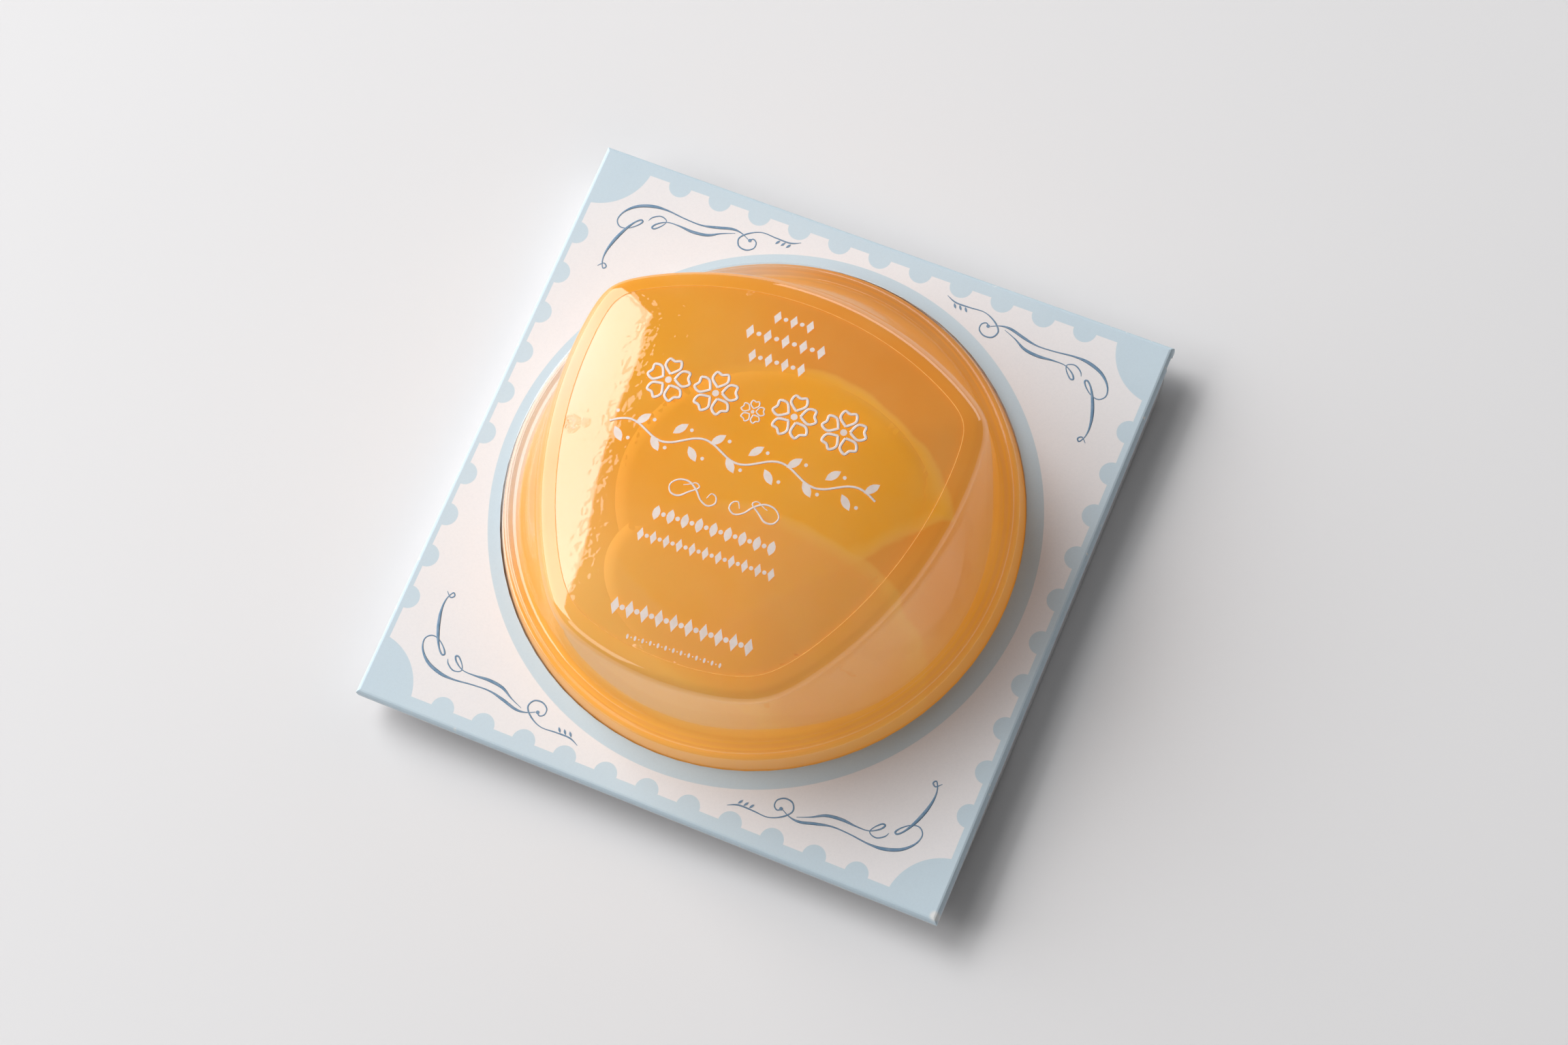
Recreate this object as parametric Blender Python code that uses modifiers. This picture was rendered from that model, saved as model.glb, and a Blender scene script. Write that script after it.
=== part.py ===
"""Sealed fruit jelly: a clear moulded cup of jelly that stands through the round hole of a square folded card.

The pack lies on its back. The card's front face is level, and the cup's dome rises from it. The dome starts as
a circle and ends in a cushion-shaped top with four bowed sides. X runs across the card, Y up the card and Z out
of its front face. The origin is at the bottom centre of the whole pack.
"""

import math

import bmesh
import bpy
import numpy as np

MM = 0.001
GAP = 0.3 * MM  # left between pieces that touch

# Card
CARD_SIDE = 120.0 * MM
BOARD = 0.5 * MM  # thickness of the front card
RIM_DEPTH = 2.8 * MM  # how far the front card's edges fold back
FOLD_RADIUS = 0.8 * MM
HOLE_CLEARANCE = 0.4 * MM
NOTCH = 4.2 * MM  # the side rims stop this far from the card's top edge

# Back tray: its floor is flat in the middle and slopes up to the card's bottom edge
TRAY_DEPTH = 5.5 * MM
TRAY_WALL = 0.6 * MM
TRAY_WIDTH = 119.4 * MM
TRAY_BOTTOM_Y = -59.7 * MM
TRAY_TOP_Y = 55.0 * MM
FLAT_FROM_Y = -21.5 * MM
FLAT_TO_Y = 30.0 * MM
TOP_END_LIFT = 1.3 * MM  # the floor's rise at the top end
TOP_CORNER = 1.4 * MM

FRONT_Z = TRAY_DEPTH + GAP + RIM_DEPTH  # height of the card's front face

# Cup: radii from its own axis, heights from the card's front face
CUP_X = -1.3 * MM
CUP_Y = 1.0 * MM
CUP_WALL = 0.6 * MM
FLANGE_RADIUS = 54.4 * MM
FLANGE_Z = -BOARD - GAP
COLLAR_FOOT = 50.3 * MM  # the collar stands up through the card's hole
COLLAR_TOP = 49.7 * MM
COLLAR_HEIGHT = 4.5 * MM
BEAD_RADIUS = 48.0 * MM
BEAD_HEIGHT = 5.3 * MM
GROOVE_RADIUS = 47.0 * MM
GROOVE_HEIGHT = 4.9 * MM

# Dome
DOME_FOOT = 46.2 * MM
DOME_FOOT_Z = 5.5 * MM
SHOULDER_Z = 24.6 * MM
SHOULDER_RADIUS = 3.4 * MM
SHOULDER_SWEEP = math.radians(74.0)
CROWN_RISE = 5.0 * MM
CROWN_POWER = 2.6
CORNER_POWER = 34.0  # the higher, the sharper the corners of the cushion-shaped top

# The cushion's four bowed sides, each an arc: centre x, centre y, radius
TOP_ARC = (0.0, -29.7 * MM, 67.3 * MM)
RIGHT_ARC = (-37.15 * MM, 11.1 * MM, 77.6 * MM)
LEFT_ARC = (37.15 * MM, 11.1 * MM, 77.6 * MM)
BOTTOM_ARC = (0.0, 19.0 * MM, 62.4 * MM)
CUSHION = (TOP_ARC, RIGHT_ARC, LEFT_ARC, BOTTOM_ARC)

# Label: a clear film on the dome's top
LABEL_INSET = 1.9 * MM
LABEL_THICKNESS = 0.2 * MM

# Fill and lid
FILL_INSET = CUP_WALL + GAP + 0.1 * MM
FILL_FOOT_Z = FLANGE_Z - CUP_WALL
FILL_COLLAR = 49.2 * MM
FILL_STEP_Z = 3.5 * MM
LID_RADIUS = 54.2 * MM
LID_THICKNESS = 0.2 * MM

AROUND = 72  # points around the cup

COLOURS = {
    "front_card": (0.57, 0.70, 0.78),
    "back_tray": (0.30, 0.30, 0.31),
    "cup": (0.85, 0.83, 0.80),
    "jelly": (0.80, 0.42, 0.08),
    "lid_film": (0.80, 0.80, 0.80),
    "label": (0.90, 0.88, 0.85),
}
ROUGHNESS = {
    "front_card": 0.45,
    "back_tray": 0.80,
    "cup": 0.08,
    "jelly": 0.30,
    "lid_film": 0.30,
    "label": 0.15,
}


def clear_scene():
    """Remove every object that the file opens with."""
    for obj in list(bpy.data.objects):
        bpy.data.objects.remove(obj, do_unlink=True)


def collection(name):
    """Return a new collection linked to the scene."""
    found = bpy.data.collections.new(name)
    bpy.context.scene.collection.children.link(found)
    return found


def material(name):
    """Return a Principled material in the piece's own colour."""
    mat = bpy.data.materials.new(name)
    mat.use_nodes = True
    shader = mat.node_tree.nodes["Principled BSDF"]
    shader.inputs["Base Color"].default_value = (*COLOURS[name], 1.0)
    shader.inputs["Roughness"].default_value = ROUGHNESS[name]
    shader.inputs["Metallic"].default_value = 0.0
    return mat


def add_object(name, bm, into, smooth_angle=None):
    """Turn a bmesh into a named object with its own material."""
    mesh = bpy.data.meshes.new(name)
    bm.to_mesh(mesh)
    bm.free()
    obj = bpy.data.objects.new(name, mesh)
    into.objects.link(obj)
    if name in COLOURS:
        mesh.materials.append(material(name))
    if smooth_angle is not None:
        mesh.shade_smooth()
        mesh.set_sharp_from_angle(angle=smooth_angle)
    return obj


def hide_cutter(obj):
    """Keep a cutter out of the finished model."""
    obj.hide_render = True
    obj.display_type = "WIRE"


def cut(obj, cutter):
    """Take the cutter's shape out of an object."""
    boolean = obj.modifiers.new("cut_" + cutter.name, "BOOLEAN")
    boolean.operation = "DIFFERENCE"
    boolean.solver = "EXACT"
    boolean.object = cutter


def box(low, high):
    """Return a bmesh box between two corners."""
    bm = bmesh.new()
    bmesh.ops.create_cube(bm, size=1.0)
    for vert in bm.verts:
        for axis in range(3):
            vert.co[axis] = high[axis] if vert.co[axis] > 0 else low[axis]
    return bm


def angles():
    """Return the directions of the points around the cup."""
    return np.linspace(0.0, 2.0 * math.pi, AROUND, endpoint=False)


def arc_reach(theta, arc):
    """Return the distance from the cup's axis to an arc, in each direction."""
    centre_x, centre_y, radius = arc
    along = np.cos(theta) * centre_x + np.sin(theta) * centre_y
    return along + np.sqrt(along**2 + radius**2 - centre_x**2 - centre_y**2)


def cushion_radius(theta):
    """Return the radius of the dome's top outline: its four arcs, with their meeting corners softened."""
    reaches = [arc_reach(theta, arc) for arc in CUSHION]
    return sum((reach / DOME_FOOT) ** -CORNER_POWER for reach in reaches) ** (-1.0 / CORNER_POWER) * DOME_FOOT


def turned_ring(radius, height):
    """Return a level circle about the cup's axis."""
    theta = angles()
    return ring_points(np.full(AROUND, radius), theta, np.full(AROUND, height))


def ring_points(radius, theta, height):
    """Return points from polar places about the cup's axis, with heights from the card's front face."""
    x = CUP_X + radius * np.cos(theta)
    y = CUP_Y + radius * np.sin(theta)
    return np.stack([x, y, FRONT_Z + height], axis=1)


def wall_ring(share, inset):
    """Return a ring of the dome's wall, from its round foot (0) to its cushion-shaped shoulder (1)."""
    theta = angles()
    radius = DOME_FOOT + (cushion_radius(theta) - DOME_FOOT) * share - inset
    height = DOME_FOOT_Z + (SHOULDER_Z - DOME_FOOT_Z) * share
    return ring_points(radius, theta, np.full(AROUND, height))


def shoulder_ring(share, inset):
    """Return a ring of the rounded shoulder between the wall and the crown."""
    theta = angles()
    turn = SHOULDER_SWEEP * share
    bend = SHOULDER_RADIUS - inset
    radius = cushion_radius(theta) - inset - bend * (1.0 - math.cos(turn))
    return ring_points(radius, theta, np.full(AROUND, SHOULDER_Z + bend * math.sin(turn)))


def crown_height(share, inset):
    """Return the crown's height at a share of the way from its middle (0) to the shoulder (1)."""
    edge = SHOULDER_Z + (SHOULDER_RADIUS - inset) * math.sin(SHOULDER_SWEEP)
    return edge + CROWN_RISE * (1.0 - share**CROWN_POWER)


def crown_ring(share, inset):
    """Return a ring of the pillowed crown."""
    theta = angles()
    edge = cushion_radius(theta) - inset - (SHOULDER_RADIUS - inset) * (1.0 - math.cos(SHOULDER_SWEEP))
    return ring_points(edge * share, theta, np.full(AROUND, crown_height(share, inset)))


def dome_rings(inset, wall_steps, shoulder_steps, crown_shares):
    """Return the dome's rings from its foot to near its middle, drawn in by an inset."""
    rings = [wall_ring(step / wall_steps, inset) for step in range(wall_steps + 1)]
    rings += [shoulder_ring(step / shoulder_steps, inset) for step in range(1, shoulder_steps + 1)]
    rings += [crown_ring(share, inset) for share in crown_shares]
    return rings


def loft(rings, close_start, close_end, end_height=None):
    """Join rings of points into a skin whose faces point away from the axis.

    The rings run from the outside in, bottom to top. A closed end is a fan to a middle point.
    """
    bm = bmesh.new()
    rows = [[bm.verts.new(point) for point in ring] for ring in rings]
    for lower, upper in zip(rows, rows[1:]):
        for i in range(AROUND):
            j = (i + 1) % AROUND
            bm.faces.new((lower[i], lower[j], upper[j], upper[i]))
    if close_end:
        middle = bm.verts.new((CUP_X, CUP_Y, FRONT_Z + end_height))
        for i in range(AROUND):
            bm.faces.new((rows[-1][i], rows[-1][(i + 1) % AROUND], middle))
    if close_start:
        middle = bm.verts.new((CUP_X, CUP_Y, rings[0][0][2]))
        for i in range(AROUND):
            bm.faces.new((rows[0][(i + 1) % AROUND], rows[0][i], middle))
    return bm


def make_cup(into):
    """One moulded shell: a flange behind the card, a stepped collar through its hole, and the dome."""
    edge_round = 0.5 * MM
    rings = [
        turned_ring(FLANGE_RADIUS, FLANGE_Z),
        turned_ring(COLLAR_FOOT, FLANGE_Z),
        turned_ring(COLLAR_TOP, COLLAR_HEIGHT - edge_round),
        turned_ring(COLLAR_TOP - edge_round, COLLAR_HEIGHT),
        turned_ring(BEAD_RADIUS + edge_round, BEAD_HEIGHT - 0.2 * MM),
        turned_ring(BEAD_RADIUS, BEAD_HEIGHT),
        turned_ring(GROOVE_RADIUS, GROOVE_HEIGHT),
    ]
    rings += dome_rings(0.0, 4, 4, (0.86, 0.68, 0.45, 0.2))
    bm = loft(rings, close_start=False, close_end=True, end_height=crown_height(0.0, 0.0))
    cup = add_object("cup", bm, into, smooth_angle=math.radians(50.0))
    shell = cup.modifiers.new("wall", "SOLIDIFY")
    shell.thickness = CUP_WALL
    shell.offset = -1.0
    return cup


def make_jelly(into):
    """The set jelly, which fills the cup from its lid to its crown."""
    rings = [
        turned_ring(FILL_COLLAR, FILL_FOOT_Z),
        turned_ring(FILL_COLLAR - 0.6 * MM, FILL_STEP_Z),
        turned_ring(DOME_FOOT - FILL_INSET, FILL_STEP_Z + 0.1 * MM),
    ]
    rings += dome_rings(FILL_INSET, 3, 3, (0.8, 0.5, 0.2))[1:]
    bm = loft(rings, close_start=True, close_end=True, end_height=crown_height(0.0, FILL_INSET))
    return add_object("jelly", bm, into, smooth_angle=math.radians(50.0))


def make_label(into):
    """A clear film that follows the dome's top, a little inside its edge."""
    lift = GAP + 0.1 * MM
    theta = angles()
    edge = cushion_radius(theta) - SHOULDER_RADIUS * (1.0 - math.cos(SHOULDER_SWEEP))
    rings = []
    for share in (1.0, 0.86, 0.68, 0.45, 0.2):
        radius = (edge - LABEL_INSET) * share
        height = np.array([crown_height(r / e, 0.0) for r, e in zip(radius, edge)])
        rings.append(ring_points(radius, theta, height + lift))
    bm = loft(rings, close_start=False, close_end=True, end_height=crown_height(0.0, 0.0) + lift)
    label = add_object("label", bm, into, smooth_angle=math.radians(50.0))
    film = label.modifiers.new("film", "SOLIDIFY")
    film.thickness = LABEL_THICKNESS
    film.offset = 1.0
    return label


def make_lid_film(into):
    """The thin lid sealed across the cup's back."""
    bm = bmesh.new()
    bmesh.ops.create_cone(
        bm,
        cap_ends=True,
        segments=AROUND,
        radius1=LID_RADIUS,
        radius2=LID_RADIUS,
        depth=LID_THICKNESS,
    )
    lid = add_object("lid_film", bm, into, smooth_angle=math.radians(30.0))
    top = FRONT_Z + FLANGE_Z - CUP_WALL - GAP
    lid.location = (CUP_X, CUP_Y, top - LID_THICKNESS / 2.0)
    return lid


def make_front_card(into, cutters):
    """The printed front: a square panel with folded rims, a round hole, and side rims cut back at the top."""
    half = CARD_SIDE / 2.0
    bm = box((-half, -half, FRONT_Z - RIM_DEPTH), (half, half, FRONT_Z))
    top_edges = [e for e in bm.edges if all(v.co.z > FRONT_Z - MM for v in e.verts)]
    floor = [f for f in bm.faces if f.normal.z < -0.5]
    bmesh.ops.delete(bm, geom=floor, context="FACES_ONLY")
    bmesh.ops.bevel(bm, geom=top_edges, offset=FOLD_RADIUS, segments=3, profile=0.5, affect="EDGES")
    card = add_object("front_card", bm, into, smooth_angle=math.radians(40.0))
    sheet = card.modifiers.new("board", "SOLIDIFY")
    sheet.thickness = BOARD
    sheet.offset = -1.0
    sheet.use_even_offset = True

    hole = bmesh.new()
    radius = COLLAR_FOOT + HOLE_CLEARANCE
    bmesh.ops.create_cone(hole, cap_ends=True, segments=AROUND, radius1=radius, radius2=radius, depth=20.0 * MM)
    hole_cutter = add_object("hole_cutter", hole, cutters)
    hole_cutter.location = (CUP_X, CUP_Y, FRONT_Z)
    hide_cutter(hole_cutter)
    cut(card, hole_cutter)

    for side in (-1.0, 1.0):
        outer = side * (half + MM)
        inner = side * (half - BOARD - 0.4 * MM)
        low = (min(outer, inner), half - NOTCH, FRONT_Z - RIM_DEPTH - MM)
        high = (max(outer, inner), half - FOLD_RADIUS - BOARD, FRONT_Z - FOLD_RADIUS - 0.4 * MM)
        notch = add_object("notch_cutter_" + ("left" if side < 0 else "right"), box(low, high), cutters)
        hide_cutter(notch)
        cut(card, notch)
    return card


def make_back_tray(into):
    """The card's back, a shallow open tray whose floor slopes up to the card's bottom edge."""
    rim = TRAY_DEPTH
    outline = [
        (TRAY_BOTTOM_Y, rim),
        (TRAY_BOTTOM_Y, rim - 0.9 * MM),
        (FLAT_FROM_Y, 0.0),
        (FLAT_TO_Y, 0.0),
        (TRAY_TOP_Y - TOP_CORNER, TOP_END_LIFT - 0.1 * MM),
        (TRAY_TOP_Y - 0.4 * MM, TOP_END_LIFT + 0.5 * MM),
        (TRAY_TOP_Y, TOP_END_LIFT + TOP_CORNER),
        (TRAY_TOP_Y, rim),
    ]
    bm = bmesh.new()
    left = [bm.verts.new((-TRAY_WIDTH / 2.0, y, z)) for y, z in outline]
    right = [bm.verts.new((TRAY_WIDTH / 2.0, y, z)) for y, z in outline]
    bm.faces.new(list(reversed(left)))
    bm.faces.new(right)
    for i in range(len(outline) - 1):
        bm.faces.new((left[i], left[i + 1], right[i + 1], right[i]))
    tray = add_object("back_tray", bm, into, smooth_angle=math.radians(30.0))
    board = tray.modifiers.new("board", "SOLIDIFY")
    board.thickness = TRAY_WALL
    board.offset = -1.0
    board.use_even_offset = True
    return tray


def main():
    """Build the whole pack."""
    clear_scene()
    parts = collection("jelly_pack")
    cutters = collection("cutters")
    make_front_card(parts, cutters)
    make_back_tray(parts)
    make_cup(parts)
    make_jelly(parts)
    make_lid_film(parts)
    make_label(parts)


main()
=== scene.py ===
"""Looks of a sealed fruit jelly: a clear moulded cup of amber jelly that stands through a printed card.

Every piece is in metres, in the CAD model's frame: X runs across the card, Y up the card and Z out of its
front face. A height called "over the card" is measured from the card's front face, and a radius from the
cup's axis.
"""

import logging
import math
from collections.abc import Callable, Sequence
from dataclasses import dataclass, field
from enum import Enum

import bmesh
import bpy
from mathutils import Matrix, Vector

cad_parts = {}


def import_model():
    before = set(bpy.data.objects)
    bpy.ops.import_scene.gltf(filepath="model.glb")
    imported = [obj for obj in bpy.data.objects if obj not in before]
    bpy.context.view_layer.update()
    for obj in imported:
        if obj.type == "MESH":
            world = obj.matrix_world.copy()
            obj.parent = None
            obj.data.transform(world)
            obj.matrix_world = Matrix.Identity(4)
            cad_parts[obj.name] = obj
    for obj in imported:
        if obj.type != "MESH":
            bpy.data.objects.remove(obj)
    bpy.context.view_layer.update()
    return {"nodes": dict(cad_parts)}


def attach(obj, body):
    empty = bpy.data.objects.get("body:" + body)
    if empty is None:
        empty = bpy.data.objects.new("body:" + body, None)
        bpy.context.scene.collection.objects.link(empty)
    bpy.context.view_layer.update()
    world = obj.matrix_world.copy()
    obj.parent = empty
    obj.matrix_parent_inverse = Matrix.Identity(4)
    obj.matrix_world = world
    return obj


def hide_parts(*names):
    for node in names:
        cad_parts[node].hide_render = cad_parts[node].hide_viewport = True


LOG = logging.getLogger("jelly_pack")

MM = 0.001
CARD_FACE = 8.6 * MM
CUP_X = -1.3 * MM
CUP_Y = 1.0 * MM
BODY = "root"

Colour = tuple[int, int, int]
Point = tuple[float, float]
Knot = tuple[float, float, float]
Ring = Callable[[float], Point]
Value = float | Sequence[float] | bpy.types.NodeSocket


def paint(colour: Colour, strength: float = 1.0) -> tuple[float, float, float, float]:
    """Turns a colour as it looks on screen into the linear one that a shader takes.

    Args:
        colour: Red, green and blue from 0 to 255.
        strength: Multiplies the linear colour.

    Returns:
        Linear red, green, blue and an alpha of 1.
    """
    parts = []
    for part in colour:
        share = part / 255.0
        linear = share / 12.92 if share <= 0.04045 else ((share + 0.055) / 1.055) ** 2.4
        parts.append(linear * strength)
    return parts[0], parts[1], parts[2], 1.0


class Graph:
    """A node tree, put together call by call."""

    def __init__(self, name: str, owner: bpy.types.World | None = None) -> None:
        """Starts an empty tree.

        Args:
            name: Name of the new material.
            owner: What the tree belongs to, where that isn't a new material.
        """
        self.material = owner or bpy.data.materials.new(name)
        self.material.use_nodes = True
        self.tree = self.material.node_tree
        self.tree.nodes.clear()

    def add(
        self, kind: str, sockets: dict[str | int, Value] | None = None, **settings: object
    ) -> bpy.types.Node:
        """Adds a node.

        Args:
            kind: Blender's name of the node type.
            sockets: Input name or number, and what goes into it: a constant or another node's output.
            **settings: The node's own settings.

        Returns:
            The new node.
        """
        node = self.tree.nodes.new(kind)
        for key, value in settings.items():
            setattr(node, key, value)
        for key, value in (sockets or {}).items():
            if isinstance(value, bpy.types.NodeSocket):
                self.tree.links.new(value, node.inputs[key])
            else:
                node.inputs[key].default_value = value
        return node

    def math(
        self, operation: str, first: Value, second: Value = 0.0, third: Value = 0.0
    ) -> bpy.types.NodeSocket:
        """Adds a Math node.

        Args:
            operation: Blender's name of the operation.
            first: First number.
            second: Second number, where the operation has one.
            third: Third number, where the operation has one.

        Returns:
            The result's socket.
        """
        return self.add("ShaderNodeMath", {0: first, 1: second, 2: third}, operation=operation).outputs[0]

    def times(self, first: Value, second: Value) -> bpy.types.NodeSocket:
        """Multiplies two numbers."""
        return self.math("MULTIPLY", first, second)

    def minus(self, first: Value, second: Value) -> bpy.types.NodeSocket:
        """Takes the second number from the first."""
        return self.math("SUBTRACT", first, second)

    def larger(self, first: Value, second: Value) -> bpy.types.NodeSocket:
        """Gives the larger of two numbers."""
        return self.math("MAXIMUM", first, second)

    def smaller(self, first: Value, second: Value) -> bpy.types.NodeSocket:
        """Gives the smaller of two numbers."""
        return self.math("MINIMUM", first, second)

    def blend(self, factor: Value, first: Value, second: Value) -> bpy.types.NodeSocket:
        """Mixes two colours.

        Args:
            factor: Share of the second colour.
            first: First colour.
            second: Second colour.

        Returns:
            The mixed colour's socket.
        """
        node = self.add("ShaderNodeMix", {0: factor, 6: first, 7: second}, data_type="RGBA")
        return node.outputs[2]

    def ease(
        self, value: Value, low: float, high: float, start: float = 0.0, end: float = 1.0
    ) -> bpy.types.NodeSocket:
        """Turns a number smoothly from one value to another as it crosses a range.

        Args:
            value: The number.
            low: Where the range starts.
            high: Where it ends.
            start: Result at and below the start.
            end: Result at and above the end.

        Returns:
            The result's socket.
        """
        sockets = {0: value, 1: low, 2: high, 3: start, 4: end}
        return self.add("ShaderNodeMapRange", sockets, interpolation_type="SMOOTHSTEP").outputs[0]

    def noise(self, scale: float, detail: float = 2.0, roughness: float = 0.5) -> bpy.types.NodeSocket:
        """Adds noise on Object coordinates.

        Args:
            scale: Cells for each metre.
            detail: Number of finer layers.
            roughness: Weight of the finer layers.

        Returns:
            The noise value's socket.
        """
        place = self.add("ShaderNodeTexCoord").outputs["Object"]
        sockets = {"Vector": place, "Scale": scale, "Detail": detail, "Roughness": roughness}
        return self.add("ShaderNodeTexNoise", sockets).outputs[0]

    def place(self, x: float = 0.0, y: float = 0.0, z: float = 0.0) -> tuple[bpy.types.NodeSocket, ...]:
        """Gives the shaded point's place in millimetres.

        Args:
            x: Origin across the card, in metres.
            y: Origin up the card, in metres.
            z: Origin out of the card, in metres.

        Returns:
            Sockets of the three coordinates.
        """
        raw = self.add("ShaderNodeTexCoord").outputs["Object"]
        sockets = {"Vector": raw, "Location": (-x / MM, -y / MM, -z / MM), "Scale": (1 / MM, 1 / MM, 1 / MM)}
        moved = self.add("ShaderNodeMapping", sockets).outputs[0]
        parts = self.add("ShaderNodeSeparateXYZ", {0: moved}).outputs
        return parts[0], parts[1], parts[2]

    def span(self, across: Value, up: Value) -> bpy.types.NodeSocket:
        """Length of a flat vector.

        Args:
            across: Its first part.
            up: Its second part.

        Returns:
            The length's socket.
        """
        squares = self.math("MULTIPLY", across, across)
        total = self.math("MULTIPLY_ADD", up, up, squares)
        return self.math("SQRT", total)

    def away(self, across: Value, up: Value, from_x: float, from_y: float) -> bpy.types.NodeSocket:
        """Distance of a flat place from another."""
        return self.span(self.minus(across, from_x), self.minus(up, from_y))

    def body(self, colour: Value, roughness: Value, specular: float, **more: Value) -> bpy.types.Node:
        """Adds a shader with a plain gloss.

        Args:
            colour: Base colour.
            roughness: Roughness of the gloss.
            specular: Specular level.
            **more: Other sockets, with an underscore for each space in the name.

        Returns:
            The shader's node.
        """
        sockets = {"Base Color": colour, "Roughness": roughness, "Specular IOR Level": specular}
        sockets.update({name.replace("_", " "): value for name, value in more.items()})
        return self.add("ShaderNodeBsdfPrincipled", sockets)

    def bump(self, height: Value, distance: float, strength: float = 1.0) -> bpy.types.NodeSocket:
        """Adds a bump.

        Args:
            height: The relief from 0 to 1.
            distance: Depth of the relief in metres.
            strength: Share of it that shows.

        Returns:
            The bent normal's socket.
        """
        sockets = {"Height": height, "Distance": distance, "Strength": strength}
        return self.add("ShaderNodeBump", sockets).outputs[0]

    def finish(self, shader: bpy.types.NodeSocket) -> bpy.types.Material:
        """Connects the surface.

        Args:
            shader: The surface shader's output.

        Returns:
            The finished material.
        """
        self.add("ShaderNodeOutputMaterial", {"Surface": shader})
        return self.material


@dataclass(frozen=True)
class PrintedBoard:
    """Coated card with a light blue border with half-round teeth, corner rounds and a ring round the cup."""

    field: Colour = (243, 241, 242)
    blue: Colour = (204, 222, 233)
    pale_blue: Colour = (211, 228, 237)
    dull_field: Colour = (240, 238, 240)
    speck: Colour = (150, 160, 170)
    paper: Colour = (246, 244, 240)
    field_right: float = 58.1
    field_left: float = 58.3
    field_top: float = 57.1
    field_bottom: float = 56.9
    tooth_radius: float = 2.3
    pitch_across: float = 8.56
    pitch_up: float = 8.9
    corner_radius: float = 11.0
    ring_radius: float = 53.5
    ring_x: float = -0.6
    ring_y: float = 0.5
    row_rise: float = 0.9
    corner_x: float = 60.3
    corner_y: float = 58.6
    edge_soft: float = 0.07
    fold_start: float = 59.1
    fold_end: float = 59.7
    worn_tip: Point = (59.3, -58.8)
    raw_edge: float = -2.62

    def teeth(
        self, graph: Graph, along: Value, pitch: float, odd: bool, depth: Value, reach: float
    ) -> bpy.types.NodeSocket:
        """One row of half-round teeth along an edge of the white field.

        Args:
            graph: The tree to add to.
            along: Place along the edge.
            pitch: Distance between two teeth.
            odd: True for a row with a tooth at its middle.
            depth: Distance inwards from the edge.
            reach: The row ends this far from its middle.

        Returns:
            A number above zero inside a tooth.
        """
        shifted = graph.math("ADD", along, pitch * 20.0 + (0.0 if odd else pitch / 2.0))
        off = graph.math("PINGPONG", shifted, pitch / 2.0)
        inside = graph.minus(self.tooth_radius, graph.span(off, depth))
        end = graph.minus(reach, graph.math("ABSOLUTE", along))
        return graph.smaller(inside, end)

    def material(self) -> bpy.types.Material:
        """Builds the printed board's material."""
        graph = Graph("printed_board")
        x, y, z = graph.place(0.0, 0.0, CARD_FACE)
        right = graph.minus(self.field_right, x)
        left = graph.math("ADD", self.field_left, x)
        top = graph.minus(self.field_top, y)
        bottom = graph.math("ADD", self.field_bottom, y)
        blue = graph.times(graph.smaller(right, left), -1.0)
        blue = graph.larger(blue, graph.times(graph.smaller(top, bottom), -1.0))
        for depth in (top, bottom):
            row = self.teeth(graph, x, self.pitch_across, True, depth, self.pitch_across * 5.5)
            blue = graph.larger(blue, row)
        raised = graph.minus(y, self.row_rise)
        for depth in (right, left):
            row = self.teeth(graph, raised, self.pitch_up, False, depth, self.pitch_up * 5.0)
            blue = graph.larger(blue, row)
        corner_x = graph.minus(self.corner_x, graph.math("ABSOLUTE", x))
        corner_y = graph.minus(self.corner_y, graph.math("ABSOLUTE", y))
        corner = graph.minus(self.corner_radius, graph.span(corner_x, corner_y))
        blue = graph.larger(blue, corner)
        from_ring = graph.away(x, y, self.ring_x, self.ring_y)
        blue = graph.larger(blue, graph.minus(self.ring_radius, from_ring))
        printed = graph.ease(blue, -self.edge_soft, self.edge_soft)
        grain = graph.noise(2600.0, 3.0, 0.7)
        mottle = graph.noise(60.0, 3.0)
        faded = graph.ease(mottle, 0.3, 0.7, 0.0, 0.35)
        ink = graph.blend(faded, paint(self.blue), paint(self.pale_blue))
        dulled = graph.ease(mottle, 0.3, 0.7, 0.0, 0.5)
        white = graph.blend(dulled, paint(self.field), paint(self.dull_field))
        colour = graph.blend(printed, white, ink)
        colour = graph.blend(graph.ease(grain, 0.35, 0.75, 0.0, 0.05), colour, paint(self.speck))
        fold = graph.larger(graph.math("ABSOLUTE", x), graph.math("ABSOLUTE", y))
        near_fold = graph.ease(fold, self.fold_start, self.fold_end)
        scuffs = graph.ease(graph.noise(420.0, 4.0, 0.7), 0.63, 0.7)
        worn = graph.times(near_fold, scuffs)
        tip = graph.away(x, y, *self.worn_tip)
        worn = graph.larger(worn, graph.ease(tip, 0.5, 1.3, 0.9, 0.0))
        raw_edge = graph.ease(z, self.raw_edge, self.raw_edge + 0.12, 1.0, 0.0)
        worn = graph.larger(graph.times(worn, 0.8), raw_edge)
        colour = graph.blend(worn, colour, paint(self.paper))
        roughness = graph.ease(grain, 0.2, 0.8, 0.42, 0.56)
        shader = graph.body(colour, roughness, 0.35, Normal=graph.bump(grain, 0.00001, 0.5))
        return graph.finish(shader.outputs[0])


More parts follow.
